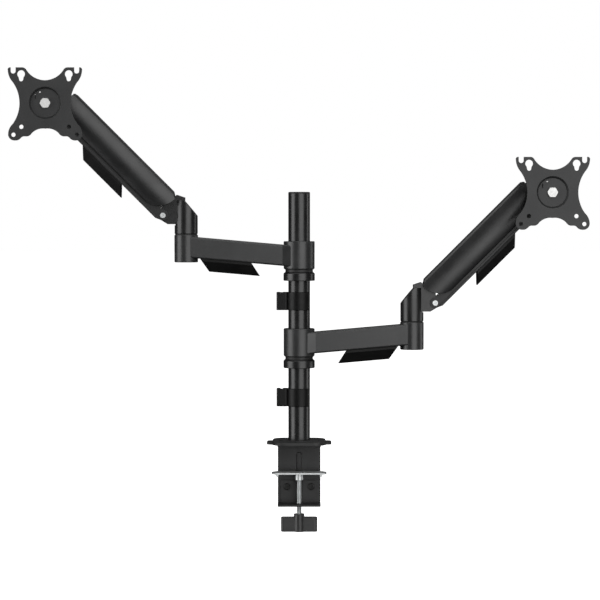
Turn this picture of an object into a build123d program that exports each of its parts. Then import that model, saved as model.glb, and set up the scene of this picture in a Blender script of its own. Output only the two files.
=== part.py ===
from build123d import *
import math
import os

os.makedirs("parts", exist_ok=True)

# A desk-clamped pole that carries two spring-balanced monitor arms.
# Frame: the origin is on the pole's axis, in the plane of the desk top.
# X runs across the desk, +Y away from the person, +Z up.

# ---------------------------------------------------------------- pole and base
pole_r = 17.5
pole_wall = 2.0
pole_top = 407.4
sheet = 3.0  # the clamp's steel sheet
pad_t = 1.2  # a thin pad between the clamp's top flange and the desk
base_w, base_d, base_t = 104.0, 78.0, 3.0
tab_d = 42.0  # the base plate's tabs, left and right of its cover
cover_w, cover_d, cover_t = 87.0, 84.0, 5.2
plate_z = pad_t + sheet  # the base plate lies on the clamp's top flange
plate_top = plate_z + base_t
cover_z = plate_z + 0.2
fit = 0.05  # radial clearance of a running fit

# ---------------------------------------------------------------- desk clamp
clamp_w = 69.6
spine_y = 30.0  # front face of the vertical plate
spine_low = -95.15
tongue_w, tongue_top, tongue_gap = 60.0, -59.0, 10.8
foot_low = -98.2
foot_front = -6.0
jaw_screw_x, jaw_screw_z = 19.8, -69.5
screw_y = 6.0
screw_r = 4.0
jaw_top = -43.0  # the pressure plate's top face at rest
knob_top = -111.0
knob_w, knob_h, wing_h = 59.0, 28.8, 24.0

# ---------------------------------------------------------------- first link
hub_r, hub_h = 25.0, 45.5
collar_r, collar_h = 25.25, 14.0
flange_h = 4.0  # the bushing's flange, seen as the groove under the hub
sleeve_r = 19.6
elbow_x = 182.0
ring_r, ring_h = 19.0, 44.5
ring_rise = 11.0  # elbow ring's centre above the hub's centre
beam_h, beam_t = 34.0, 35.0
beam_drop = 2.0  # the beam's centre line starts this far under the hub's centre
beam_slope = math.radians(4.97)
seam_gap = 1.2
channel_half, channel_foot, channel_lip, clip_wall = 17.0, 11.0, 3.6, 2.0  # the cable channels' section
seam = ring_rise + ring_h / 2 + seam_gap  # elbow seam above the hub's centre

# ---------------------------------------------------------------- second link
# Places along it are (out from the elbow axis, up from the elbow seam).
knuckle_r = 18.6
pivot_a = (28.0, 60.0)
pivot_b = (36.6, 29.8)
link_length = 215.0
link_angle = 45.0
cheek_in, cheek_out = 8.0, 12.0
pin_r = 4.0
pin_half = 18.0  # the upper pivots' pins end inside the cover's walls
# Places in the link's own frame are (along, across), from pivot_a.
cover_top, cover_low = 11.7, -31.2
lip_h, lip_half, belly_half = 3.4, 17.0, 22.8  # the cover's section
link_low, link_flange = -38.8, 3.4
cover_start, cover_end = -10.0, 222.6
wall = 2.5
channel_in, channel_out = cheek_out + 0.3, cheek_out + 2.7
screw_seat = channel_out + 1.0
spring_t = -21.0  # the gas spring's line
spring_pin = 25.0  # its fixed pin, straight under pivot_a

# ---------------------------------------------------------------- head
swivel_x = 218.0  # swivel axis, out from the elbow axis
head_z = 206.4  # the screen plate's centre, up from the elbow seam
tilt_y = -38.0
plate_front = -70.0
plate_t = 2.5
dish_depth = 4.5
dish_r = 25.4  # at the plate's front
dish_floor_r = 22.6
screw_hole_r = 3.4

levels = {"left": (-1, 308.2), "right": (1, 167.6)}  # side, height of the hub's centre
clip_heights = {"upper": 234.6, "lower": 79.2}


def save(builder, name):
    """Label a finished piece and write it."""
    builder.part.label = name
    export_step(builder.part, f"parts/{name}.step")


def side_plane(side, x=0.0, z=0.0, y=0.0):
    """A vertical plane whose first axis points outward along one arm and second axis up."""
    return Plane(origin=(side * x, y, z), x_dir=(side, 0, 0), z_dir=(0, -side, 0))


def hexagon(across_flats):
    """Circumradius of a hexagon."""
    return across_flats / math.sqrt(3)


# ================================================================ base and pole
corners = [(x, y) for x in (-22, 22) for y in (-15, 15)]  # the base plate's screws


def make_base():
    def plate_shape(clear):
        """The plate under the cover, with a tab out of each side."""
        with BuildSketch() as shape:
            RectangleRounded(base_w - 24 + 2 * clear, base_d + 2 * clear, 10)
            RectangleRounded(base_w + 2 * clear, tab_d + 2 * clear, 7)
        return shape.sketch

    with BuildPart() as base_plate:
        with BuildSketch(Plane.XY.offset(plate_z)):
            add(plate_shape(0))
            Circle(5.2, mode=Mode.SUBTRACT)
            with Locations(*corners):
                Circle(2.6, mode=Mode.SUBTRACT)
        extrude(amount=base_t)
        chamfer(base_plate.faces().sort_by(Axis.Z)[-1].outer_wire().edges(), 0.5)
    save(base_plate, "base_plate")

    with BuildPart() as base_cover:
        with BuildSketch(Plane.XY.offset(cover_z)):
            RectangleRounded(cover_w, cover_d, 20)
        extrude(amount=cover_t, taper=9)
        fillet(base_cover.faces().sort_by(Axis.Z)[-1].edges(), 2)
        with BuildSketch(Plane.XY.offset(cover_z + cover_t)):
            Circle(33)
        extrude(amount=1.1, taper=30)
        with BuildSketch(Plane.XY.offset(cover_z)):
            add(plate_shape(0.3))
        extrude(amount=plate_z + base_t + 0.3 - cover_z, mode=Mode.SUBTRACT)
        with BuildSketch(Plane.XY.offset(cover_z)):
            Circle(pole_r)
        extrude(amount=cover_t + 2, mode=Mode.SUBTRACT)
    save(base_cover, "base_cover")

    pad_y, pad_d = 0.0, 54.0
    with BuildPart() as base_pad:
        with BuildSketch():
            with Locations((0, pad_y)):
                RectangleRounded(clamp_w - 4, pad_d, 5)
        extrude(amount=pad_t)
    save(base_pad, "base_pad")

    with BuildPart() as base_screws:
        for x, y in corners:
            with BuildSketch(Plane.XY.offset(pad_t)):
                with Locations((x, y)):
                    Circle(4.6)
            extrude(amount=2.0, taper=45)
            with BuildSketch(Plane.XY.offset(pad_t)):
                with Locations((x, y)):
                    Circle(2.6)
            extrude(amount=plate_top - pad_t - 0.4)
    save(base_screws, "base_screws")


def make_pole():
    with BuildPart() as pole:
        with BuildSketch(Plane.XY.offset(plate_top)):
            Circle(pole_r)
            Circle(pole_r - pole_wall, mode=Mode.SUBTRACT)
        extrude(amount=pole_top - plate_top)
    save(pole, "pole")

    with BuildPart() as pole_foot:
        with BuildSketch(Plane.XY.offset(plate_top)):
            Circle(pole_r - pole_wall)
        extrude(amount=22)
        Hole(5, depth=200)
    save(pole_foot, "pole_foot")

    with BuildPart() as pole_bolt:
        with BuildSketch(Plane.XY.offset(pad_t)):
            Circle(8)
        extrude(amount=sheet, taper=45)
        with BuildSketch(Plane.XY.offset(pad_t)):
            Circle(5)
        extrude(amount=plate_top + 18)
        with BuildSketch(Plane.XY.offset(pad_t)):
            RegularPolygon(hexagon(6), 6)
        extrude(amount=3, mode=Mode.SUBTRACT)
    save(pole_bolt, "pole_bolt")

    with BuildPart() as pole_cap:
        with BuildSketch(Plane.XY.offset(pole_top)):
            Circle(pole_r)
        extrude(amount=2.8)
        fillet(pole_cap.edges().sort_by(Axis.Z)[-1], 1.4)
        with BuildSketch(Plane.XY.offset(pole_top)):
            Circle(pole_r - pole_wall)
            Circle(pole_r - pole_wall - 2, mode=Mode.SUBTRACT)
        extrude(amount=-11)
    save(pole_cap, "pole_cap")


def make_pole_clip(name, height):
    """A springy collar round the pole's front, with a squarish loop for cables on its left."""
    loop_x, loop_w, loop_d, clip_h, skin = -27.2, 18.6, 19.0, 29.0, 2.2
    low = height - clip_h / 2
    with BuildPart() as clip:
        with BuildSketch(Plane.XY.offset(low)):
            Circle(pole_r + 2.6)
            with Locations((loop_x, 0)):
                RectangleRounded(loop_w, loop_d, 4.5)
        extrude(amount=clip_h)
        chamfer(clip.faces().filter_by(Axis.Z).edges(), 0.6)
        with BuildSketch(Plane.XY.offset(low)):
            Circle(pole_r)
            with Locations((loop_x + 0.4, 0)):
                RectangleRounded(loop_w - 2 * skin, loop_d - 2 * skin, 3)
            # the collar is open from the front right to the back, and the loop at its back
            with BuildLine():
                Polyline((0, 0), (60, -40), (60, 60), (-8, 60), (0, 0))
            make_face()
            with Locations((loop_x - 1, loop_d / 2)):
                Rectangle(4.2, 8)
        extrude(amount=clip_h, mode=Mode.SUBTRACT)
    save(clip, name)


# ================================================================ desk clamp
def make_clamp():
    with BuildPart() as clamp_bracket:
        with BuildSketch(Plane.YZ):
            with BuildLine():
                Polyline((-28, pad_t), (-28, plate_z), (spine_y + sheet, plate_z),
                         (spine_y + sheet, spine_low), (spine_y, spine_low), (spine_y, pad_t), (-28, pad_t))
            make_face()
        extrude(amount=clamp_w / 2, both=True)
        outer_bend = clamp_bracket.edges().filter_by(Axis.X).group_by(Axis.Z)[-1].sort_by(Axis.Y)[-1]
        fillet(outer_bend, 4.2)
        low = clamp_bracket.faces().sort_by(Axis.Z)[0].edges().filter_by(Axis.Y)
        fillet(low, 0.5)
        # a groove is pressed into the vertical plate to stiffen it
        groove_low, groove_high = spine_low + 16, -17.5
        behind, before = spine_y + sheet + 1.6, spine_y + 1.8
        for depth_y, width, mode in ((behind, 11.6, Mode.ADD), (before, 9.0, Mode.SUBTRACT)):
            with BuildSketch(Plane.XZ.offset(-depth_y)):
                with Locations((0, (groove_low + groove_high) / 2)):
                    SlotCenterToCenter(groove_high - groove_low, width - 2.4, rotation=90)
            with BuildSketch(Plane.XZ.offset(-depth_y + 1.8)):
                with Locations((0, (groove_low + groove_high) / 2)):
                    SlotCenterToCenter(groove_high - groove_low, width, rotation=90)
            loft(mode=mode)
        for x, y in corners:
            with BuildSketch(Plane.XY.offset(pad_t)):
                with Locations((x, y)):
                    Circle(4.6)
            extrude(amount=2.0, taper=45, mode=Mode.SUBTRACT)
            with BuildSketch(Plane.XY.offset(pad_t)):
                with Locations((x, y)):
                    Circle(2.6)
            extrude(amount=sheet, mode=Mode.SUBTRACT)
        with BuildSketch(Plane.XY.offset(pad_t)):
            Circle(8)
        extrude(amount=sheet, taper=45, mode=Mode.SUBTRACT)
        with BuildSketch(Plane.XZ.offset(-spine_y - sheet - 1)):
            with Locations((jaw_screw_x, jaw_screw_z), (-jaw_screw_x, jaw_screw_z)):
                Circle(3)
        extrude(amount=sheet + 4, mode=Mode.SUBTRACT)
    save(clamp_bracket, "clamp_bracket")

    with BuildPart() as clamp_jaw:
        with BuildSketch(Plane.XY.offset(foot_low)):
            with Locations((0, (foot_front + spine_y + sheet) / 2)):
                RectangleRounded(clamp_w, spine_y + sheet - foot_front, 2.5)
        extrude(amount=sheet)
        with BuildSketch(Plane.XZ.offset(-spine_y)):
            with Locations((0, (tongue_top + foot_low + sheet) / 2)):
                Rectangle(tongue_w, tongue_top - foot_low - sheet)
        extrude(amount=sheet)
        tongue_tops = clamp_jaw.edges().filter_by(Axis.Y).group_by(Axis.Z)[-1]
        fillet(tongue_tops, 3)
        # the tongue is split, clear of the groove in the vertical plate
        with BuildSketch(Plane.XZ.offset(-spine_y)):
            with Locations((0, (tongue_top + foot_low) / 2 + sheet + 7)):
                Rectangle(tongue_gap, tongue_top - foot_low)
        extrude(amount=sheet, mode=Mode.SUBTRACT)
        with BuildSketch(Plane.XZ.offset(-spine_y - 1)):
            with Locations((jaw_screw_x, jaw_screw_z), (-jaw_screw_x, jaw_screw_z)):
                Circle(3)
        extrude(amount=sheet + 4, mode=Mode.SUBTRACT)
        # a pressed-in nut takes the clamp screw
        with BuildSketch(Plane.XY.offset(foot_low + sheet)):
            with Locations((0, screw_y)):
                Circle(5.6)
        extrude(amount=1.4)
        with BuildSketch(Plane.XY.offset(foot_low - 1)):
            with Locations((0, screw_y)):
                Circle(screw_r + fit)
        extrude(amount=14, mode=Mode.SUBTRACT)
    save(clamp_jaw, "clamp_jaw")

    with BuildPart() as jaw_screws:
        with BuildSketch(Plane.XZ.offset(-spine_y + sheet)):
            with Locations((jaw_screw_x, jaw_screw_z), (-jaw_screw_x, jaw_screw_z)):
                Circle(5.5)
        extrude(amount=3)
        fillet(jaw_screws.faces().sort_by(Axis.Y)[:2].edges(), 1.5)
        with BuildSketch(Plane.XZ.offset(-spine_y + sheet + 3)):
            with Locations((jaw_screw_x, jaw_screw_z), (-jaw_screw_x, jaw_screw_z)):
                RegularPolygon(hexagon(5), 6)
        extrude(amount=-2.2, mode=Mode.SUBTRACT)
        with BuildSketch(Plane.XZ.offset(-spine_y + sheet)):
            with Locations((jaw_screw_x, jaw_screw_z), (-jaw_screw_x, jaw_screw_z)):
                Circle(3)
        extrude(amount=-2 * sheet - 1)
    save(jaw_screws, "jaw_screws")

    screw_foot = jaw_top - 2.8  # the pressure plate rests on the screw's ball end
    with BuildPart() as clamp_screw:
        with BuildSketch(Plane.XY.offset(knob_top - 12)):
            with Locations((0, screw_y)):
                Circle(screw_r)
        extrude(amount=screw_foot - 1.5 - knob_top + 12)
        chamfer(clamp_screw.edges().sort_by(Axis.Z)[-1], 0.8)
    save(clamp_screw, "clamp_screw")

    with BuildPart() as clamp_knob:
        with BuildSketch(Plane.XY.offset(knob_top - knob_h)):
            with Locations((0, screw_y)):
                RectangleRounded(knob_w, 9.6, 4.6)
        extrude(amount=wing_h)
        chamfer(clamp_knob.faces().filter_by(Axis.Z).edges(), 0.8)
        with BuildSketch(Plane.XY.offset(knob_top)):
            with Locations((0, screw_y)):
                Circle(8.5)
        extrude(amount=-knob_h)
        with BuildSketch(Plane.XY.offset(knob_top)):
            with Locations((0, screw_y)):
                Circle(screw_r)
        extrude(amount=-12, mode=Mode.SUBTRACT)
    save(clamp_knob, "clamp_knob")

    with BuildPart() as pressure_plate:
        with BuildSketch(Plane.XZ.offset(-screw_y)):
            with BuildLine():
                Polyline((-44.5, jaw_top - 1.1), (-36, jaw_top), (36, jaw_top),
                         (44.5, jaw_top - 1.1), (44.5, jaw_top - 2.4), (38, jaw_top - 2.8),
                         (37, jaw_top - 6.5), (34, jaw_top - 6.5), (33, jaw_top - 2.8),
                         (-33, jaw_top - 2.8), (-34, jaw_top - 6.5), (-37, jaw_top - 6.5),
                         (-38, jaw_top - 2.8), (-44.5, jaw_top - 2.4), (-44.5, jaw_top - 1.1))
            make_face()
        extrude(amount=14, both=True)
        with BuildSketch(Plane.XY.offset(screw_foot)):
            with Locations((0, screw_y)):
                Circle(6.5)
        extrude(amount=-10)
        with BuildSketch(Plane.XY.offset(screw_foot - 10)):
            with Locations((0, screw_y)):
                Circle(screw_r + fit)
        extrude(amount=8.6, mode=Mode.SUBTRACT)
    save(pressure_plate, "pressure_plate")


# ================================================================ first link of an arm
def make_collar(name, side, level):
    bottom = level - hub_h / 2 - flange_h - collar_h
    with BuildPart() as collar:
        with BuildSketch(Plane.XY.offset(bottom)):
            Circle(collar_r)
            Circle(pole_r + fit, mode=Mode.SUBTRACT)
            with Locations((0, collar_r)):
                Rectangle(2, 20, mode=Mode.SUBTRACT)
        extrude(amount=collar_h)
        rims = collar.edges().filter_by(GeomType.CIRCLE).filter_by(lambda e: e.radius > collar_r - 0.1)
        chamfer(rims.group_by(Axis.Z)[-1], 2.6)
        chamfer(rims.group_by(Axis.Z)[0], 0.6)
        with BuildSketch(Plane.YZ.offset(-20)):
            with Locations((21, bottom + collar_h / 2)):
                Circle(2.5)
        extrude(amount=40, mode=Mode.SUBTRACT)
    save(collar, f"{name}_height_collar")

    with BuildPart() as collar_screw:
        with BuildSketch(Plane.YZ.offset(-12)):
            with Locations((21, bottom + collar_h / 2)):
                Circle(2.5)
        extrude(amount=24)
        with BuildSketch(Plane.YZ.offset(12)):
            with Locations((21, bottom + collar_h / 2)):
                RegularPolygon(hexagon(2.5), 6)
        extrude(amount=-3, mode=Mode.SUBTRACT)
    save(collar_screw, f"{name}_collar_screw")

    with BuildPart() as bushing:
        with BuildSketch(Plane.XY.offset(bottom + collar_h)):
            Circle(22.2)
            Circle(pole_r + fit, mode=Mode.SUBTRACT)
        extrude(amount=flange_h)
        with BuildSketch(Plane.XY.offset(bottom + collar_h)):
            Circle(sleeve_r)
            Circle(pole_r + fit, mode=Mode.SUBTRACT)
        extrude(amount=flange_h + hub_h - 1)
    save(bushing, f"{name}_hub_bushing")


def channel_section(deep, shrink):
    """Section of a clipped-on cable channel: upright lips on top, then sides that lean inward."""
    edge, foot = channel_half - shrink, channel_foot - shrink
    with BuildSketch() as section:
        with BuildLine():
            Polyline((-edge, -1.1 * shrink), (edge, -1.1 * shrink), (edge, -channel_lip),
                     (foot, shrink - deep), (-foot, shrink - deep), (-edge, -channel_lip),
                     (-edge, -1.1 * shrink))
        make_face()
    return section.sketch


def make_extension_arm(name, side, level):
    """Hub, sloping beam and elbow ring in one casting."""
    rise = math.tan(beam_slope)
    half = beam_h / 2 / math.cos(beam_slope)

    def beam_z(u):
        return -beam_drop + u * rise

    with BuildPart() as arm:
        with BuildSketch(side_plane(side, z=level)):
            with BuildLine():
                Polyline((20, beam_z(20) - half), (elbow_x, beam_z(elbow_x) - half),
                         (elbow_x, beam_z(elbow_x) + half), (20, beam_z(20) + half),
                         (20, beam_z(20) - half))
            make_face()
        extrude(amount=beam_t / 2, both=True)
        along = Vector(side * math.cos(beam_slope), 0, math.sin(beam_slope))
        long_edges = [e for e in arm.edges() if e.length > 120 and abs(e.tangent_at(0).dot(along)) > 0.99]
        fillet(long_edges, 3)
        # the flared neck where the beam grows out of the hub
        for u, grow in ((13.0, 7.4), (26.5, 0.0)):
            with BuildSketch(Plane((side * u, 0, level + beam_z(u)), x_dir=(0, 1, 0), z_dir=(side, 0, 0))):
                RectangleRounded(beam_t + grow, beam_h + grow / 5, 3)
        loft()
        with BuildSketch(Plane.XY.offset(level - hub_h / 2)):
            Circle(hub_r)
        extrude(amount=hub_h)
        with BuildSketch(Plane.XY.offset(level + ring_rise - ring_h / 2)):
            with Locations((side * elbow_x, 0)):
                Circle(ring_r)
        extrude(amount=ring_h)
        rims = arm.edges().filter_by(GeomType.CIRCLE)
        hub_rims = rims.filter_by(lambda e: abs(e.radius - hub_r) < 0.01 and e.length > 100)
        chamfer(hub_rims.group_by(Axis.Z)[0], 1.8)
        chamfer(hub_rims.group_by(Axis.Z)[-1], 0.8)
        ring_rims = rims.filter_by(lambda e: abs(e.radius - ring_r) < 0.01 and e.length > 100)
        chamfer(ring_rims, 0.9)
        with BuildSketch(Plane.XY.offset(level - hub_h / 2)):
            Circle(sleeve_r + fit)
        extrude(amount=hub_h, mode=Mode.SUBTRACT)
        # the elbow bolt's bore, with a pocket for its head underneath
        ring_low = level + ring_rise - ring_h / 2
        with BuildSketch(Plane.XY.offset(ring_low)):
            with Locations((side * elbow_x, 0)):
                Circle(9 + fit)
        extrude(amount=ring_h, mode=Mode.SUBTRACT)
        with BuildSketch(Plane.XY.offset(ring_low)):
            with Locations((side * elbow_x, 0)):
                Circle(13)
        extrude(amount=9, mode=Mode.SUBTRACT)
    save(arm, f"{name}_extension_arm")

    with BuildPart() as bushing:
        with BuildSketch(Plane.XY.offset(ring_low + ring_h)):
            with Locations((side * elbow_x, 0)):
                Circle(17.6)
        extrude(amount=seam_gap)
        with BuildSketch(Plane.XY.offset(ring_low + 9)):
            with Locations((side * elbow_x, 0)):
                Circle(9)
        extrude(amount=ring_h - 9)
        with BuildSketch(Plane.XY.offset(ring_low)):
            with Locations((side * elbow_x, 0)):
                Circle(6)
        extrude(amount=ring_h + seam_gap, mode=Mode.SUBTRACT)
    save(bushing, f"{name}_elbow_bushing")

    with BuildPart() as bolt:
        with BuildSketch(Plane.XY.offset(ring_low + 1)):
            with Locations((side * elbow_x, 0)):
                Circle(11.5)
        extrude(amount=7.6)
        with BuildSketch(Plane.XY.offset(ring_low + 8)):
            with Locations((side * elbow_x, 0)):
                Circle(6 - fit)
        extrude(amount=ring_h - 8 + seam_gap + 14)
        with BuildSketch(Plane.XY.offset(ring_low + 1)):
            with Locations((side * elbow_x, 0)):
                RegularPolygon(hexagon(8), 6)
        extrude(amount=4, mode=Mode.SUBTRACT)
    save(bolt, f"{name}_elbow_bolt")

    # a cable channel snapped under the beam; its ends slant towards the pole
    top_in, top_out, low_in, low_out, depth = 77.5, 158.9, 63.0, 144.0, 19.7
    under = Plane(origin=(side * 40, 0, level + beam_z(40) - half), x_dir=(0, side, 0), z_dir=along)
    with BuildPart() as clip:
        with BuildSketch(under):
            add(channel_section(depth * math.cos(beam_slope), 0))
        extrude(amount=140)
        lows = clip.edges().filter_by(lambda e: e.length > 100).sort_by(Axis.Z)[:2]
        fillet(lows, 3)
        with BuildSketch(under):
            add(channel_section(depth * math.cos(beam_slope), clip_wall))
        extrude(amount=140, mode=Mode.SUBTRACT)
        with BuildSketch(side_plane(side, z=level)):
            with BuildLine():
                Polyline((top_in, beam_z(top_in) - half), (top_out, beam_z(top_out) - half),
                         (low_out, beam_z(top_out) - half - depth - 2),
                         (low_in, beam_z(top_in) - half - depth - 2),
                         (top_in, beam_z(top_in) - half))
            make_face()
        extrude(amount=beam_t, both=True, mode=Mode.INTERSECT)
    save(clip, f"{name}_beam_clip")


# ================================================================ second link of an arm
def link_plane(side, level):
    """The link's own frame: first axis along the link, second across it, from pivot_a."""
    tilt = math.radians(link_angle)
    return Plane(
        origin=(side * (elbow_x + pivot_a[0]), 0, level + seam + pivot_a[1]),
        x_dir=(side * math.cos(tilt), 0, math.sin(tilt)),
        z_dir=(0, -side, 0),
    )


def across(first, second):
    """Where a place given from the elbow lies in the link's frame."""
    tilt = math.radians(link_angle)
    du, dw = first - pivot_a[0], second - pivot_a[1]
    return du * math.cos(tilt) + dw * math.sin(tilt), dw * math.cos(tilt) - du * math.sin(tilt)


def make_elbow_bracket(name, side, level):
    """The upper half of the elbow, with two cheeks that carry the link's pivots."""
    low = level + seam
    plane = side_plane(side, elbow_x, low)
    with BuildPart() as bracket:
        with BuildSketch(Plane.XY.offset(low)):
            with Locations((side * elbow_x, 0)):
                Circle(knuckle_r)
        extrude(amount=54)
        # the knuckle's top is cut on a slant on the pole's side
        with BuildSketch(plane):
            with BuildLine():
                Polyline((-30, 15.6), (3, 54), (3, 70), (-30, 70), (-30, 15.6))
            make_face()
        extrude(amount=30, both=True, mode=Mode.SUBTRACT)
        with BuildSketch(plane):
            with BuildLine():
                Polyline((0, 15.8), (29.2, 15.8), (42, 23.6), (34.6, 60), (23, 61.2),
                         (17.5, 60.2), (14.5, 63), (1.8, 58.8), (2.5, 40), (0, 15.8))
            make_face()
            with Locations(pivot_a):
                Circle(6.8)
            with Locations(pivot_b):
                Circle(8.2)
        extrude(amount=cheek_out, both=True)
        # the gap between the cheeks, where the gas spring's end lies
        with BuildSketch(plane):
            with BuildLine():
                Polyline((5, 14), (60, 14), (60, 80), (-4, 80), (5, 14))
            make_face()
        extrude(amount=cheek_in, both=True, mode=Mode.SUBTRACT)
        with BuildSketch(plane):
            with Locations(pivot_a, pivot_b):
                Circle(pin_r)
        extrude(amount=30, both=True, mode=Mode.SUBTRACT)
        with BuildSketch(plane):
            with Locations((pivot_a[0], pivot_a[1] - spring_pin)):
                Circle(3)
        extrude(amount=cheek_out - 1.5, both=True, mode=Mode.SUBTRACT)
        with BuildSketch(Plane.XY.offset(low)):
            with Locations((side * elbow_x, 0)):
                Circle(6 - fit)
        extrude(amount=14, mode=Mode.SUBTRACT)
        rims = bracket.edges().filter_by(GeomType.CIRCLE)
        seam_rim = rims.filter_by(lambda e: e.radius > knuckle_r - 0.1)
        chamfer(seam_rim.group_by(Axis.Z)[0], 0.8)
    save(bracket, f"{name}_elbow_bracket")

    with BuildPart() as pins:
        with BuildSketch(plane):
            with Locations(pivot_a):
                Circle(pin_r)
        extrude(amount=pin_half, both=True)
        with BuildSketch(plane):
            with Locations((pivot_a[0], pivot_a[1] - spring_pin)):
                Circle(3)
        extrude(amount=cheek_out - 1.5, both=True)
        # the lower pivot is a shoulder screw in each cheek, with a round head
        for turn in (-1, 1):
            with BuildSketch(side_plane(side, elbow_x, low, turn * cheek_in)):
                with Locations(pivot_b):
                    Circle(pin_r)
            extrude(amount=screw_seat - cheek_in, dir=(0, turn, 0))
            with BuildSketch(side_plane(side, elbow_x, low, turn * screw_seat)):
                with Locations(pivot_b):
                    Circle(4.3)
            extrude(amount=1.6, dir=(0, turn, 0))
            with BuildSketch(side_plane(side, elbow_x, low, turn * (screw_seat + 1.6))):
                with Locations(pivot_b):
                    RegularPolygon(hexagon(3), 6)
            extrude(amount=1.2, dir=(0, -turn, 0), mode=Mode.SUBTRACT)
    save(pins, f"{name}_elbow_pins")


def cover_outline(shrink):
    """The cover's section: a flat top with upright lips, and bulging sides, open underneath."""
    top, lip = cover_top - shrink, cover_top - lip_h
    low = cover_low - 2 * shrink
    edge, belly = lip_half - shrink, belly_half - shrink
    middle = (lip + cover_low) / 2
    with BuildSketch() as outline:
        with BuildLine():
            Polyline((-edge, lip), (-edge, top), (edge, top), (edge, lip))
            ThreePointArc((edge, lip), (belly, middle), (edge, low))
            Line((edge, low), (-edge, low))
            ThreePointArc((-edge, low), (-belly, middle), (-edge, lip))
        make_face()
    return outline.sketch


def make_arm_cover(name, side, level):
    plane = link_plane(side, level)
    start = plane.origin + plane.x_dir * (cover_start - 5)
    section = Plane(origin=start, x_dir=(0, side, 0), z_dir=plane.x_dir)
    length = cover_end - cover_start + 10
    with BuildPart() as cover:
        with BuildSketch(section):
            add(cover_outline(0))
        extrude(amount=length)
        with BuildSketch(section):
            add(cover_outline(wall))
        extrude(amount=length, mode=Mode.SUBTRACT)
        # bosses for the two pivots
        with BuildSketch(plane):
            with Locations((0, 0), (link_length, 0)):
                Circle(7)
        extrude(amount=22, both=True)
        with BuildSketch(plane):
            with Locations((0, 0), (link_length, 0)):
                Circle(8)
        extrude(amount=cheek_out + 0.4, both=True, mode=Mode.SUBTRACT)
        # a web across the middle carries the gas spring's end
        with BuildSketch(plane):
            with Locations((185, -2.5)):
                Rectangle(4, 23)
        extrude(amount=22, both=True)
        with BuildSketch(plane):
            with Locations((185, -18)):
                Rectangle(4, 20)
        extrude(amount=10, both=True)
        with BuildSketch(plane):
            with Locations((182, spring_t)):
                Rectangle(20, 8.6)
        extrude(amount=4.2, both=True, mode=Mode.SUBTRACT)
        with BuildSketch(section):
            add(cover_outline(0))
        extrude(amount=length, mode=Mode.INTERSECT)
        # the side outline: a rounded lower end, and an upper end cut back at its foot
        with BuildSketch(plane):
            with BuildLine():
                Polyline((0.1, cover_top), (cover_end - 2, cover_top), (cover_end, cover_top - 2),
                         (cover_end, -8), (206, cover_low), (20, cover_low))
                ThreePointArc((20, cover_low), (-2.6, -18), (-10.5, 5))
                Line((-10.5, 5), (0.1, cover_top))
            make_face()
        extrude(amount=30, both=True, mode=Mode.INTERSECT)
        with BuildSketch(plane):
            with Locations((0, 0), (link_length, 0)):
                Circle(pin_r + fit)
        extrude(amount=pin_half + 0.1, both=True, mode=Mode.SUBTRACT)
        # a notch in the top's upper end, through which the head's bracket swings
        with BuildSketch(plane):
            with Locations((cover_end, cover_top)):
                Rectangle(46, 12)
        extrude(amount=cheek_in + 0.8, both=True, mode=Mode.SUBTRACT)
    save(cover, f"{name}_arm_cover")


def make_lower_link(name, side, level):
    """A channel under the cover: the other bar of the parallelogram."""
    plane = link_plane(side, level)
    near = across(*pivot_b)
    far = (near[0] + link_length, near[1])
    channel_top = -21.0
    with BuildPart() as link:
        with BuildSketch(plane):
            with BuildLine():
                Polyline((near[0] - 5, near[1] - 6.4), (-9.8, link_low), (far[0] + 4, link_low),
                         (far[0] + 8, far[1] - 4), (far[0] + 5, far[1] + 6), (far[0] - 6, channel_top),
                         (near[0] + 9, channel_top), (near[0], near[1] + 8), (near[0] - 5, near[1] - 6.4))
            make_face()
            with Locations(near, far):
                Circle(8.2)
        extrude(amount=channel_out, both=True)
        # a wider foot along the link shows as a strip under the cover
        with BuildSketch(plane):
            with BuildLine():
                Polyline((-9.8, link_low), (far[0] - 8, link_low), (far[0] - 8, link_low + link_flange),
                         (-12.5, link_low + link_flange), (-9.8, link_low))
            make_face()
        extrude(amount=lip_half + 0.4, both=True)
        floors = [e for e in link.edges() if e.length > 180 and link_far_side(e, plane)]
        fillet(floors, 1.2)
        # the channel's inside, open at the top and at both ends
        with BuildSketch(plane):
            with BuildLine():
                Polyline((-60, 20), (-60, -60), (2, -60), (2, link_low + 2.2), (188, link_low + 2.2),
                         (188, -60), (260, -60), (260, 20), (-60, 20))
            make_face()
        extrude(amount=channel_in, both=True, mode=Mode.SUBTRACT)
        with BuildSketch(plane):
            with Locations(near, far):
                Circle(pin_r + fit)
        extrude(amount=channel_out + 1, both=True, mode=Mode.SUBTRACT)
    save(link, f"{name}_lower_link")

    # a cable channel snapped under the link; its ends stand upright
    depth = 23.2
    deep = depth * math.cos(math.radians(link_angle))
    under = Plane(origin=plane.origin + plane.y_dir * link_low, x_dir=(0, side, 0), z_dir=plane.x_dir)
    with BuildPart() as clip:
        with BuildSketch(under):
            add(channel_section(deep, 0))
        extrude(amount=180)
        bottom = clip.faces().sort_by_distance(plane.origin + plane.y_dir * -400 + plane.x_dir * 90)[0]
        fillet(bottom.edges().filter_by(lambda e: e.length > 100), 3)
        with BuildSketch(under):
            add(channel_section(deep, clip_wall))
        extrude(amount=180, mode=Mode.SUBTRACT)
        with BuildSketch(plane):
            with BuildLine():
                Polyline(across(104.5, 81.6), across(164.5, 141.6), across(164.5, 141.6 - depth - 3),
                         across(104.5, 81.6 - depth - 3), across(104.5, 81.6))
            make_face()
        extrude(amount=channel_half + 1, both=True, mode=Mode.INTERSECT)
    save(clip, f"{name}_link_clip")


def link_far_side(edge, plane):
    """Whether an edge lies along the link's underside."""
    return plane.to_local_coords(edge.center()).Y < link_low + 0.1


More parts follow.
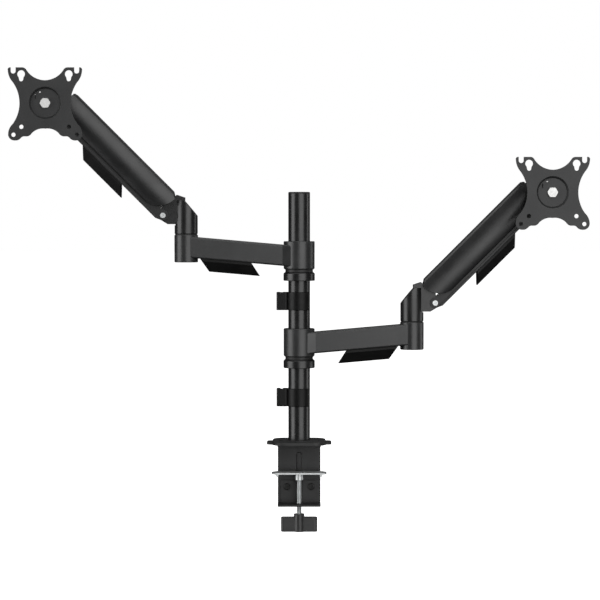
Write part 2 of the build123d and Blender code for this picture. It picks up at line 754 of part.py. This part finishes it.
def make_gas_spring(name, side, level):
    plane = link_plane(side, level)
    cross = Plane(origin=plane.origin, x_dir=(0, side, 0), z_dir=plane.x_dir)
    with BuildPart() as cylinder:
        with BuildSketch(cross.offset(60)):
            with Locations((0, spring_t)):
                Circle(8.5)
        extrude(amount=114)
        chamfer(cylinder.edges().filter_by(GeomType.CIRCLE), 1)
        with BuildSketch(plane):
            with Locations((177, spring_t)):
                SlotCenterToCenter(12, 8)
        extrude(amount=4, both=True)
        with BuildSketch(cross.offset(60)):
            with Locations((0, spring_t)):
                Circle(3 + fit)
        extrude(amount=80, mode=Mode.SUBTRACT)
    save(cylinder, f"{name}_spring_cylinder")

    with BuildPart() as rod:
        with BuildSketch(cross.offset(0)):
            with Locations((0, spring_t)):
                Circle(3)
        extrude(amount=100)
        # the open fork straddles the bracket's spring pin with room to move
        with BuildSketch(plane):
            with Locations((-9, spring_t)):
                Rectangle(24, 20)
            with Locations((-17, spring_t)):
                Rectangle(22, 15.4, mode=Mode.SUBTRACT)
        extrude(amount=4, both=True)
    save(rod, f"{name}_spring_rod")


# ================================================================ head of an arm
def make_head_bracket(name, side, level):
    plane = side_plane(side, elbow_x, level + seam)
    reach = link_length * math.cos(math.radians(link_angle))
    far_a = (pivot_a[0] + reach, pivot_a[1] + reach)
    far_b = (pivot_b[0] + reach, pivot_b[1] + reach)
    hinge = side * (elbow_x + swivel_x)
    low = level + seam + 188
    with BuildPart() as bracket:
        with BuildSketch(Plane.XY.offset(low)):
            with Locations((hinge, 0)):
                Circle(13)
        extrude(amount=25)
        chamfer(bracket.edges().filter_by(GeomType.CIRCLE), 0.6)
        with BuildSketch(plane):
            with BuildLine():
                Polyline((far_a[0], far_a[1] + 10), (193, 220), (203, 211.8), (swivel_x, 211.8),
                         (swivel_x, 189.2), (206, 189.2), (far_b[0], far_b[1] - 6),
                         (far_a[0] - 4, far_a[1] - 10),
                         (far_a[0], far_a[1] + 10))
            make_face()
            with Locations(far_a):
                Circle(10.5)
            with Locations(far_b):
                Circle(8)
        extrude(amount=cheek_in, both=True)
        with BuildSketch(plane):
            with Locations(far_b):
                Circle(8)
        extrude(amount=cheek_out, both=True)
        with BuildSketch(Plane.XY.offset(low)):
            with Locations((hinge, 0)):
                Circle(6 + fit)
        extrude(amount=25, mode=Mode.SUBTRACT)
        with BuildSketch(plane):
            with Locations(far_a, far_b):
                Circle(pin_r)
        extrude(amount=20, both=True, mode=Mode.SUBTRACT)
    save(bracket, f"{name}_head_bracket")

    with BuildPart() as pins:
        with BuildSketch(plane):
            with Locations(far_a):
                Circle(pin_r)
        extrude(amount=pin_half, both=True)
        with BuildSketch(plane):
            with Locations(far_b):
                Circle(pin_r)
        extrude(amount=16.2, both=True)
    save(pins, f"{name}_head_pins")

    with BuildPart() as swivel:
        with BuildSketch(Plane.XY.offset(low - 2)):
            with Locations((hinge, 0)):
                Circle(6)
        extrude(amount=32)
        with BuildSketch(Plane.XY.offset(low - 4)):
            with Locations((hinge, 0)):
                Circle(8.5)
        extrude(amount=3.7)
        # the hood over the socket, and the yoke that hangs in front of it
        with BuildSketch(Plane.XY.offset(low + 25.3)):
            with Locations((hinge, 0)):
                Circle(13)
            with Locations((hinge, -11)):
                Rectangle(22, 22)
        extrude(amount=6)
        with BuildSketch(Plane.XY.offset(low + 8)):
            with Locations((hinge, -18)):
                Rectangle(22, 8)
        extrude(amount=23.3)
        yoke = Plane(origin=(hinge, 0, level + seam + head_z), x_dir=(0, -1, 0), z_dir=(1, 0, 0))
        with BuildSketch(yoke):
            with Locations((-tilt_y, 0)):
                Circle(9)
            with Locations(((22 - tilt_y - 1) / 2, 0)):
                Rectangle(-tilt_y - 21, 18)
        extrude(amount=11, both=True)
        with BuildSketch(yoke):
            with Locations((22 + 20.3, 0)):
                Rectangle(40, 30)
        extrude(amount=6.3, both=True, mode=Mode.SUBTRACT)
        with BuildSketch(yoke):
            with Locations((-tilt_y, 0)):
                Circle(4 + fit)
        extrude(amount=12, both=True, mode=Mode.SUBTRACT)
    save(swivel, f"{name}_swivel_yoke")

    with BuildPart() as tilt_bolt:
        with BuildSketch(yoke):
            with Locations((-tilt_y, 0)):
                Circle(4)
        extrude(amount=11, both=True)
        for turn in (-1, 1):
            with BuildSketch(yoke.offset(turn * 11)):
                with Locations((-tilt_y, 0)):
                    Circle(7)
            extrude(amount=turn * 4.5)
            with BuildSketch(yoke.offset(turn * 15.5)):
                with Locations((-tilt_y, 0)):
                    RegularPolygon(hexagon(5), 6)
            extrude(amount=-turn * 3, mode=Mode.SUBTRACT)
    save(tilt_bolt, f"{name}_tilt_bolt")

    floor = plate_front + dish_depth  # the dish's floor, seen from the front
    back = floor + plate_t
    washer_t = 1.2
    face = Plane(origin=(hinge, 0, level + seam + head_z), x_dir=(1, 0, 0), z_dir=(0, -1, 0))
    with BuildPart() as carrier:
        with BuildSketch(face.offset(-back - washer_t - 5)):
            Circle(21)
        extrude(amount=5)
        with BuildSketch(yoke):
            with Locations((-tilt_y, 0)):
                Circle(8.7)
            with Locations(((-back - tilt_y - washer_t - 4) / 2, 0)):
                Rectangle(-back + tilt_y - washer_t - 4, 17.4)
        extrude(amount=6, both=True)
        with BuildSketch(yoke):
            with Locations((-tilt_y, 0)):
                Circle(4 + fit)
        extrude(amount=12, both=True, mode=Mode.SUBTRACT)
        with BuildSketch(face.offset(-back - washer_t - 12)):
            Circle(4)
        extrude(amount=12, mode=Mode.SUBTRACT)
    save(carrier, f"{name}_tilt_carrier")

    with BuildPart() as washer:
        with BuildSketch(face.offset(-back - washer_t)):
            Circle(19)
            Circle(5, mode=Mode.SUBTRACT)
        extrude(amount=washer_t)
    save(washer, f"{name}_friction_washer")

    with BuildPart() as bolt:
        with BuildSketch(face.offset(-floor)):
            RegularPolygon(hexagon(14.8), 6)
        extrude(amount=4.2)
        with BuildSketch(face.offset(-floor)):
            Circle(9.6)
        extrude(amount=4.2, taper=22, mode=Mode.INTERSECT)
        with BuildSketch(face.offset(-floor)):
            Circle(4)
        extrude(amount=-plate_t - washer_t - 12)
    save(bolt, f"{name}_plate_bolt")

    with BuildPart() as plate:
        with BuildSketch(face.offset(-plate_front - plate_t)):
            add(plate_outline())
            plate_holes()
        extrude(amount=plate_t)
        # a pressed dish takes the bolt's head below the plate's front
        for grow, deep, mode in ((plate_t, dish_depth + plate_t, Mode.ADD), (0, dish_depth, Mode.SUBTRACT)):
            with BuildSketch(face.offset(-plate_front)):
                Circle(dish_r + grow / 3)
            with BuildSketch(face.offset(-plate_front - deep)):
                Circle(dish_floor_r + grow / 2)
            loft(mode=mode)
        with BuildSketch(face.offset(-back)):
            Circle(4 + fit)
            with Locations((-8.5, 17)):
                Circle(1.6)
            with Locations((-15.8, 10.2)):
                Rectangle(1.6, 7)
        extrude(amount=plate_t, mode=Mode.SUBTRACT)
    save(plate, f"{name}_screen_plate")


def plate_outline():
    """The butterfly outline of the screen plate: four lobes, and a step inside each lower one."""
    with BuildSketch() as outline:
        with BuildLine() as right:
            ThreePointArc((0, 35.6), (16, 39.7), (29, 51.5))
            ThreePointArc((29, 51.5), (31.4, 54.4), (35, 55.8))
            Line((35, 55.8), (55.8, 55.8))
            ThreePointArc((55.8, 55.8), (57.6, 54.6), (58.3, 51))
            ThreePointArc((58.3, 51), (56.4, 42), (51, 33))
            ThreePointArc((51, 33), (40.2, 0), (51, -33))
            ThreePointArc((51, -33), (56.6, -41), (58.3, -49))
            ThreePointArc((58.3, -49), (55.2, -56.4), (48, -59))
            ThreePointArc((48, -59), (42.6, -58.2), (38.4, -55))
            ThreePointArc((38.4, -55), (35.6, -53), (32, -52.6))
            Line((32, -52.6), (28.5, -52.6))
            ThreePointArc((28.5, -52.6), (24.8, -51.2), (21.5, -47.8))
            ThreePointArc((21.5, -47.8), (12, -41.6), (0, -40.4))
            mirror(about=Plane.YZ)
        make_face()
    return outline.sketch


def plate_holes():
    """Screen screw holes on 75 mm and 100 mm squares; the upper ones let the screen hook on."""
    for x in (-1, 1):
        with Locations((x * 50, -50), (x * 37.5, -37.5)):
            Circle(screw_hole_r, mode=Mode.SUBTRACT)
        with Locations((x * 37.5, 45.2)):
            Circle(6.1, mode=Mode.SUBTRACT)
        with Locations((x * 37.5, 37.3)):
            Circle(3.4, mode=Mode.SUBTRACT)
        with Locations((x * 37.5, 41)):
            Trapezoid(9.6, 7.4, 80, rotation=180, mode=Mode.SUBTRACT)
        with Locations((x * 50, 50.1)):
            Circle(4, mode=Mode.SUBTRACT)
        with Locations((x * 50, 55)):
            Rectangle(8, 9.8, mode=Mode.SUBTRACT)


make_base()
make_pole()
make_clamp()
for clip_name, clip_height in clip_heights.items():
    make_pole_clip(f"{clip_name}_pole_clip", clip_height)
for arm_name, (arm_side, arm_level) in levels.items():
    make_collar(arm_name, arm_side, arm_level)
    make_extension_arm(arm_name, arm_side, arm_level)
    make_elbow_bracket(arm_name, arm_side, arm_level)
    make_arm_cover(arm_name, arm_side, arm_level)
    make_lower_link(arm_name, arm_side, arm_level)
    make_gas_spring(arm_name, arm_side, arm_level)
    make_head_bracket(arm_name, arm_side, arm_level)
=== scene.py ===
from math import cos, pi, radians, sin, tau

import bpy
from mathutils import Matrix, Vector


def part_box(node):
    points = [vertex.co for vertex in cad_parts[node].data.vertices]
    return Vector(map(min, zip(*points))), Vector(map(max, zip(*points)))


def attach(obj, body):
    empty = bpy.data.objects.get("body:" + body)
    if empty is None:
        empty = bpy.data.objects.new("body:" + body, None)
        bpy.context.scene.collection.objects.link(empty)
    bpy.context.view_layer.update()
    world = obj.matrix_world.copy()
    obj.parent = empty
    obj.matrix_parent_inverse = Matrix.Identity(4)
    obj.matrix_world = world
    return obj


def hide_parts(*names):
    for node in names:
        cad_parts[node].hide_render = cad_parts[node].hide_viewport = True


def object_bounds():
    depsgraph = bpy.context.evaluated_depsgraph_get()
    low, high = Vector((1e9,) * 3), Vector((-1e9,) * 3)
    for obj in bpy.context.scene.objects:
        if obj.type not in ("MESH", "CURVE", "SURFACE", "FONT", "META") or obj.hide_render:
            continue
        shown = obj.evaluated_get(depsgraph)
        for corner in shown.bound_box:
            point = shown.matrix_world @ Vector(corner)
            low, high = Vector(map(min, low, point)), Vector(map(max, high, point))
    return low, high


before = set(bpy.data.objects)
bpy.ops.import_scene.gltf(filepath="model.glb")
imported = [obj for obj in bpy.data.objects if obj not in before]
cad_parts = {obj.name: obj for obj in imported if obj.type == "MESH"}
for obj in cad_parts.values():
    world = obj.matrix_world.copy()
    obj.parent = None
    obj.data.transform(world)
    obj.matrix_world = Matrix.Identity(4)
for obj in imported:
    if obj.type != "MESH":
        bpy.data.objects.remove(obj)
cad_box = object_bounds()

MM = 0.001
ARMS = ("left", "right")

# the clamp screw's thread
THREAD_PITCH = 1.25 * MM
THREAD_DEPTH = 0.70 * MM
THREAD_AROUND = 48  # vertices in one turn
THREAD_RINGS = 10  # rings of vertices in one pitch
SCREW_CHAMFER = 0.8 * MM

# the stop pin, from its plate's bolt and from the plate's front
PIN_ACROSS = -8.5 * MM
PIN_UP = 17 * MM
PIN_BACK = 3.6 * MM
PIN_AROUND = 32
# radius and depth in mm, from the tip back
PIN_PROFILE = ((0.45, 0.0), (0.95, 0.12), (1.3, 0.4), (1.45, 0.8), (1.45, 2.8), (1.2, 3.0))

# the stage
FLOOR_REACH = 40.0
FLOOR_DROP = 0.5 * MM
FLOOR_GLOW = 1.15
CAMERA_PLACE = (0.0014, -3.3, 0.3514)
CAMERA_TIP = 88.0  # degrees from straight down, so two degrees below level
CAMERA_LENS = 122.8
CAMERA_SENSOR = 36
LIGHTS = (  # name, azimuth, elevation, distance, width and height, radiance
    ("front box", 24, 18, 5.0, (4.6, 7.4), 2.7),
    ("left strip", -70, 6, 4.0, (2.9, 4.2), 3.3),
    ("right strip", 102, 6, 4.0, (1.6, 4.0), 1.7),
    ("overhead", 0, 84, 3.0, (2.6, 1.6), 1.6),
    ("back box", 170, 52, 4.0, (2.6, 1.2), 1.6),
)


# ------------------------------------------------------------------ materials
class Shader:
    """A principled material and short ways to add nodes to it."""

    def __init__(self, name):
        self.mat = bpy.data.materials.new(name)
        self.mat.use_nodes = True
        self.tree = self.mat.node_tree
        self.bsdf = self.tree.nodes["Principled BSDF"]
        self.coords = self.tree.nodes.new("ShaderNodeTexCoord").outputs["Object"]

    def node(self, kind, **inputs):
        made = self.tree.nodes.new(kind)
        for key, value in inputs.items():
            self.feed(made.inputs[key.replace("_", " ")], value)
        return made

    def feed(self, socket, value):
        if isinstance(value, bpy.types.NodeSocket):
            self.tree.links.new(value, socket)
        else:
            socket.default_value = value

    def noise(self, size, detail=2.0, rough=0.5, coords=None):
        """Noise from 0 to 1 whose blotches are about size millimetres across."""
        made = self.node("ShaderNodeTexNoise", Scale=1 / (size * MM), Detail=detail, Roughness=rough)
        self.feed(made.inputs["Vector"], coords or self.coords)
        return made.outputs["Fac"]

    def stretched(self, x, y, z):
        """Object coordinates scaled per axis, for brushed or drawn grain."""
        made = self.node("ShaderNodeMapping", Scale=(x, y, z))
        self.feed(made.inputs["Vector"], self.coords)
        return made.outputs["Vector"]

    def math(self, how, a, b=0.0):
        made = self.tree.nodes.new("ShaderNodeMath")
        made.operation = how
        self.feed(made.inputs[0], a)
        self.feed(made.inputs[1], b)
        return made.outputs[0]

    def spread(self, value, low, high, start=0.3, stop=0.7):
        """value between start and stop becomes low to high."""
        made = self.node("ShaderNodeMapRange")
        for socket, v in zip(made.inputs, (value, start, stop, low, high)):
            self.feed(socket, v)
        return made.outputs[0]

    def mix(self, factor, a, b):
        made = self.tree.nodes.new("ShaderNodeMix")
        made.data_type = "RGBA"
        self.feed(made.inputs[0], factor)
        self.feed(made.inputs[6], a)
        self.feed(made.inputs[7], b)
        return made.outputs[2]

    def bump(self, height, depth, normal=None):
        """Height of 0 to 1 raised to depth millimetres."""
        made = self.node("ShaderNodeBump", Height=height, Distance=depth * MM)
        made.inputs["Strength"].default_value = 1.0
        if normal is not None:
            self.feed(made.inputs["Normal"], normal)
        return made.outputs["Normal"]

    def soft_edges(self, radius):
        """Normals that round every sharp edge by radius millimetres."""
        made = self.node("ShaderNodeBevel", Radius=radius * MM)
        made.samples = 6
        return made.outputs["Normal"]

    def edges(self, radius):
        """1 on the faces' outer rims, within radius millimetres, and 0 elsewhere."""
        rounded = self.soft_edges(radius)
        plain = self.tree.nodes.new("ShaderNodeNewGeometry").outputs["Normal"]
        made = self.tree.nodes.new("ShaderNodeVectorMath")
        made.operation = "DOT_PRODUCT"
        self.feed(made.inputs[0], rounded)
        self.feed(made.inputs[1], plain)
        return self.spread(made.outputs["Value"], 1.0, 0.0, 0.80, 0.995)

    def set(self, **sockets):
        for key, value in sockets.items():
            self.feed(self.bsdf.inputs[key.replace("_", " ")], value)
        return self.mat


def rgb(value, tint=(1, 1, 1)):
    return (value * tint[0], value * tint[1], value * tint[2], 1.0)


COOL = (0.98, 1.0, 1.02)


def powder_coat(name, tone, rough=0.42, grain=0.5, depth=0.012, soft=0.5):
    """Black powder coat: fine pebbled skin, slight orange peel, cloudy sheen, and rims painted lighter,
    partly as rubbed wear and partly as a painted edge highlight.
    """
    s = Shader(name)
    cloud = s.noise(28, detail=3)
    fine = s.noise(grain, detail=3, rough=0.6)
    peel = s.noise(3.2, detail=1)
    # mask of the rims: rubbed wear, and also where a painted edge highlight goes
    wear_and_edge_highlight = s.math("MULTIPLY", s.edges(0.45), s.spread(s.noise(2.2, detail=4), 0.0, 1.0, 0.42, 0.62))
    colour = s.mix(s.spread(cloud, 0.0, 1.0), rgb(tone * 0.86, COOL), rgb(tone * 1.16, COOL))
    colour = s.mix(s.spread(fine, 0.0, 0.35, 0.55, 0.75), colour, rgb(tone * 2.1, COOL))
    # rims painted lighter: rubbed wear plus a painted edge highlight
    colour = s.mix(s.math("MULTIPLY", wear_and_edge_highlight, 0.5), colour, rgb(tone * 3.0 + 0.02, COOL))
    sheen = s.spread(cloud, rough - 0.035, rough + 0.045)
    sheen = s.math("SUBTRACT", sheen, s.math("MULTIPLY", wear_and_edge_highlight, 0.08))
    normal = s.bump(peel, depth * 2.2, s.soft_edges(soft))
    normal = s.bump(fine, depth, normal)
    return s.set(Base_Color=colour, Roughness=sheen, Normal=normal, IOR=1.5)


def moulded_plastic(name, tone, rough=0.5, soft=0.5, gloss=0.5):
    """Matte injection-moulded plastic: spark-eroded skin and faint flow shading."""
    s = Shader(name)
    skin = s.noise(0.32, detail=2, rough=0.7)
    flow = s.noise(22, detail=2, coords=s.stretched(1.0, 1.0, 2.5))
    scuff = s.spread(s.noise(1.4, detail=5, rough=0.7), 0.0, 1.0, 0.6, 0.74)
    colour = s.mix(s.spread(flow, 0.0, 1.0), rgb(tone * 0.85), rgb(tone * 1.2))
    colour = s.mix(s.math("MULTIPLY", scuff, s.math("MULTIPLY", s.edges(0.5), 0.6)), colour, rgb(tone + 0.05))
    return s.set(
        Base_Color=colour,
        Roughness=s.spread(flow, rough - 0.04, rough + 0.05),
        Normal=s.bump(skin, 0.016, s.soft_edges(soft)),
        IOR=1.46,
        Specular_IOR_Level=gloss,
    )


def plated(name, tone, rough=0.28, stretch=(1, 1, 14), tint=(1.0, 1.0, 0.985)):
    """Bright plated steel, with drawn or turned grain, cloudy plating and dull spots."""
    s = Shader(name)
    grain = s.noise(1.1, detail=4, rough=0.65, coords=s.stretched(*stretch))
    cloud = s.noise(5.0, detail=3)
    spots = s.spread(s.noise(0.9, detail=3), 0.0, 1.0, 0.64, 0.72)
    colour = s.mix(s.spread(cloud, 0.0, 1.0), rgb(tone * 0.88, tint), rgb(tone * 1.06, tint))
    colour = s.mix(s.math("MULTIPLY", spots, 0.35), colour, rgb(tone * 0.6, tint))
    sheen = s.math("ADD", s.spread(grain, rough - 0.06, rough + 0.08), s.math("MULTIPLY", spots, 0.12))
    return s.set(
        Base_Color=colour, Metallic=1.0, Roughness=sheen, Normal=s.bump(grain, 0.006, s.soft_edges(0.25))
    )


def foam(name, tone):
    """Closed-cell foam rubber: a skin of small open pores."""
    s = Shader(name)
    cells = s.node("ShaderNodeTexVoronoi", Scale=1 / (0.7 * MM))
    s.feed(cells.inputs["Vector"], s.coords)
    pores = s.spread(cells.outputs["Distance"], 0.0, 1.0, 0.05, 0.5)
    colour = s.mix(pores, rgb(tone * 0.45), rgb(tone * 1.25))
    return s.set(Base_Color=colour, Roughness=0.88, Normal=s.bump(pores, 0.12))


LOOKS = {
    "pole": powder_coat("pole coat", 0.007, rough=0.28, depth=0.0006),
    "beam": powder_coat("arm coat", 0.018, rough=0.34, depth=0.006),
    "cast": powder_coat("cast coat", 0.007, rough=0.29, grain=0.6, depth=0.004),
    "cover": powder_coat("cover coat", 0.008, rough=0.36, depth=0.008, soft=0.8),
    "plate": powder_coat("screen plate coat", 0.015, rough=0.52, grain=0.45, depth=0.012),
    "sheet": powder_coat("bracket coat", 0.004, rough=0.46, depth=0.012),
    "plastic": moulded_plastic("moulded plastic", 0.006, rough=0.52),
    "clip": moulded_plastic("clip plastic", 0.002, rough=0.42, gloss=0.22),
    "knob": moulded_plastic("knob plastic", 0.020, rough=0.36, soft=0.8),
    "zinc": plated("zinc plate", 0.60, rough=0.44, tint=(0.97, 1.0, 1.0)),
    "bolt": plated("bolt head", 0.72, rough=0.56, stretch=(1, 1, 1)),
    "socket": plated("oiled black screw", 0.035, rough=0.5, stretch=(1, 1, 1)),
    "rod": plated("hard chrome", 0.72, rough=0.14),
    "steel": plated("black oxide", 0.10, rough=0.38, tint=(1.0, 1.0, 1.03)),
    "foam": foam("foam rubber", 0.030),
}
BY_SLOT = {
    "powder_coat": "sheet",
    "cast_coat": "cast",
    "black_plastic": "plastic",
    "zinc": "zinc",
    "black_steel": "steel",
    "chrome_rod": "rod",
    "foam_pad": "foam",
}
BY_NODE = {
    "pole": "pole",
    "extension_arm": "beam",
    "arm_cover": "cover",
    "screen_plate": "plate",
    "beam_clip": "clip",
    "link_clip": "clip",
    "upper_pole_clip": "clip",
    "lower_pole_clip": "clip",
    "clamp_knob": "knob",
    "plate_bolt": "bolt",
    "jaw_screws": "socket",
}


def look_of(node):
    part = node
    for arm in ARMS:
        part = part.removeprefix(arm + "_")
    return part


for name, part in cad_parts.items():
    for slot in part.material_slots:
        own = slot.material.name.split(".")[0] if slot.material else ""
        key = BY_NODE.get(look_of(name)) or BY_SLOT.get(own)
        if key is None:
            print("NO LOOK", name, own)
            key = "sheet"
        slot.link = "OBJECT"
        slot.material = LOOKS[key]


# ------------------------------------------------------------------ small hardware
def mesh_piece(name, verts, faces, look):
    mesh = bpy.data.meshes.new(name)
    mesh.from_pydata(verts, [], faces)
    mesh.polygons.foreach_set("use_smooth", [len(face) == 4 for face in faces])
    mesh.update()
    made = bpy.data.objects.new(name, mesh)
    bpy.context.scene.collection.objects.link(made)
    mesh.materials.append(LOOKS[look])
    return made


def ring_faces(rings, around):
    """Quads between rings of vertices, and a cap on each end."""
    faces = []
    for k in range(rings - 1):
        for i in range(around):
            j = (i + 1) % around
            faces.append((k * around + i, k * around + j, (k + 1) * around + j, (k + 1) * around + i))
    faces.append(tuple(reversed(range(around))))
    faces.append(tuple(range((rings - 1) * around, rings * around)))
    return faces


def threaded_screw():
    """The clamp screw with its M8 x 1.25 thread cut as a true helix from end to end."""
    (x0, y0, z0), (x1, y1, z1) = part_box("clamp_screw")
    cx, cy, crest = (x0 + x1) / 2, (y0 + y1) / 2, (x1 - x0) / 2
    rings = int((z1 - z0) / (THREAD_PITCH / THREAD_RINGS)) + 1
    verts = []
    for k in range(rings):
        z = z0 + (z1 - z0) * k / (rings - 1)
        from_end = min(z - z0, z1 - z)
        for i in range(THREAD_AROUND):
            turn = tau * i / THREAD_AROUND
            phase = (z / THREAD_PITCH - i / THREAD_AROUND) % 1.0
            # 0 on the crest and 1 in the root, with a flat on both
            flank = min(1.0, max(0.0, abs(phase - 0.5) * 2.8 - 0.25))
            r = min(crest - THREAD_DEPTH * flank, crest - SCREW_CHAMFER + from_end)
            verts.append((cx + r * cos(turn), cy + r * sin(turn), z))
    screw = mesh_piece("threaded_screw", verts, ring_faces(rings, THREAD_AROUND), "zinc")
    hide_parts("clamp_screw")
    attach(screw, "clamp_spindle")


def stop_pin(arm):
    """A small domed pin in the hole beside the plate's bolt."""
    bolt = [(a + b) / 2 for a, b in zip(*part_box(f"{arm}_plate_bolt"))]
    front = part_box(f"{arm}_screen_plate")[0][1] + PIN_BACK
    cx, cz = bolt[0] + PIN_ACROSS, bolt[2] + PIN_UP
    verts = []
    for r, back in PIN_PROFILE:
        for i in range(PIN_AROUND):
            turn = tau * i / PIN_AROUND
            verts.append((cx + r * MM * cos(turn), front + back * MM, cz + r * MM * sin(turn)))
    pin = mesh_piece(f"{arm}_stop_pin", verts, ring_faces(len(PIN_PROFILE), PIN_AROUND), "bolt")
    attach(pin, f"{arm}_plate")


threaded_screw()
for arm in ARMS:
    stop_pin(arm)


# ------------------------------------------------------------------ stage
low, high = Vector(cad_box[0]), Vector(cad_box[1])
middle = (low + high) / 2


def pale_floor():
    """A pale floor at the object's lowest point, bright enough to meet the white behind it."""
    mesh = bpy.data.meshes.new("floor")
    r = FLOOR_REACH
    corners = [(-r, -r, 0), (r, -r, 0), (r, r, 0), (-r, r, 0)]
    mesh.from_pydata(corners, [], [(0, 1, 2, 3)])
    floor = bpy.data.objects.new("floor", mesh)
    floor.location.z = low.z - FLOOR_DROP
    bpy.context.scene.collection.objects.link(floor)
    s = Shader("floor paint")
    tone = s.mix(s.noise(900, detail=2), (0.90, 0.90, 0.90, 1), (0.93, 0.93, 0.93, 1))
    s.set(Emission_Color=tone, Emission_Strength=FLOOR_GLOW)
    floor.data.materials.append(s.set(Base_Color=tone, Roughness=0.9))
    floor.visible_glossy = False
    floor.visible_diffuse = False
    floor.visible_shadow = False


def softbox(name, azimuth, elevation, distance, size, radiance):
    """A rectangular light that faces the object; azimuth 0 is the camera's side, 90 its right."""
    turn, lift = radians(azimuth), radians(elevation)
    way = Vector((sin(turn) * cos(lift), -cos(turn) * cos(lift), sin(lift)))
    lamp = bpy.data.lights.new(name, "AREA")
    lamp.shape = "RECTANGLE"
    lamp.size, lamp.size_y = size
    lamp.energy = radiance * pi * size[0] * size[1]
    made = bpy.data.objects.new(name, lamp)
    made.location = middle + way * distance
    made.rotation_euler = (-way).to_track_quat("-Z", "Y").to_euler()
    made.visible_camera = False
    bpy.context.scene.collection.objects.link(made)


def sky(strength_seen, strength_lit):
    """White behind the object, and a dimmer even light on it."""
    world = bpy.data.worlds.new("studio")
    world.use_nodes = True
    tree = world.node_tree
    seen = tree.nodes["Background"]
    seen.inputs["Color"].default_value = (1, 1, 1, 1)
    seen.inputs["Strength"].default_value = strength_seen
    lit = tree.nodes.new("ShaderNodeBackground")
    lit.inputs["Color"].default_value = (1, 1, 1, 1)
    lit.inputs["Strength"].default_value = strength_lit
    path = tree.nodes.new("ShaderNodeLightPath")
    mix = tree.nodes.new("ShaderNodeMixShader")
    tree.links.new(path.outputs["Is Camera Ray"], mix.inputs[0])
    tree.links.new(lit.outputs[0], mix.inputs[1])
    tree.links.new(seen.outputs[0], mix.inputs[2])
    tree.links.new(mix.outputs[0], tree.nodes["World Output"].inputs["Surface"])
    bpy.context.scene.world = world


def camera():
    """Level with the upper arm, far off, and tipped down two degrees."""
    data = bpy.data.cameras.new("camera")
    data.sensor_width = CAMERA_SENSOR
    data.lens = CAMERA_LENS
    made = bpy.data.objects.new("camera", data)
    made.location = CAMERA_PLACE
    made.rotation_euler = (radians(CAMERA_TIP), 0, 0)
    bpy.context.scene.collection.objects.link(made)
    bpy.context.scene.camera = made


pale_floor()
sky(1.0, 0.05)
for light in LIGHTS:
    softbox(*light)
camera()
bpy.context.scene.view_settings.view_transform = "Standard"
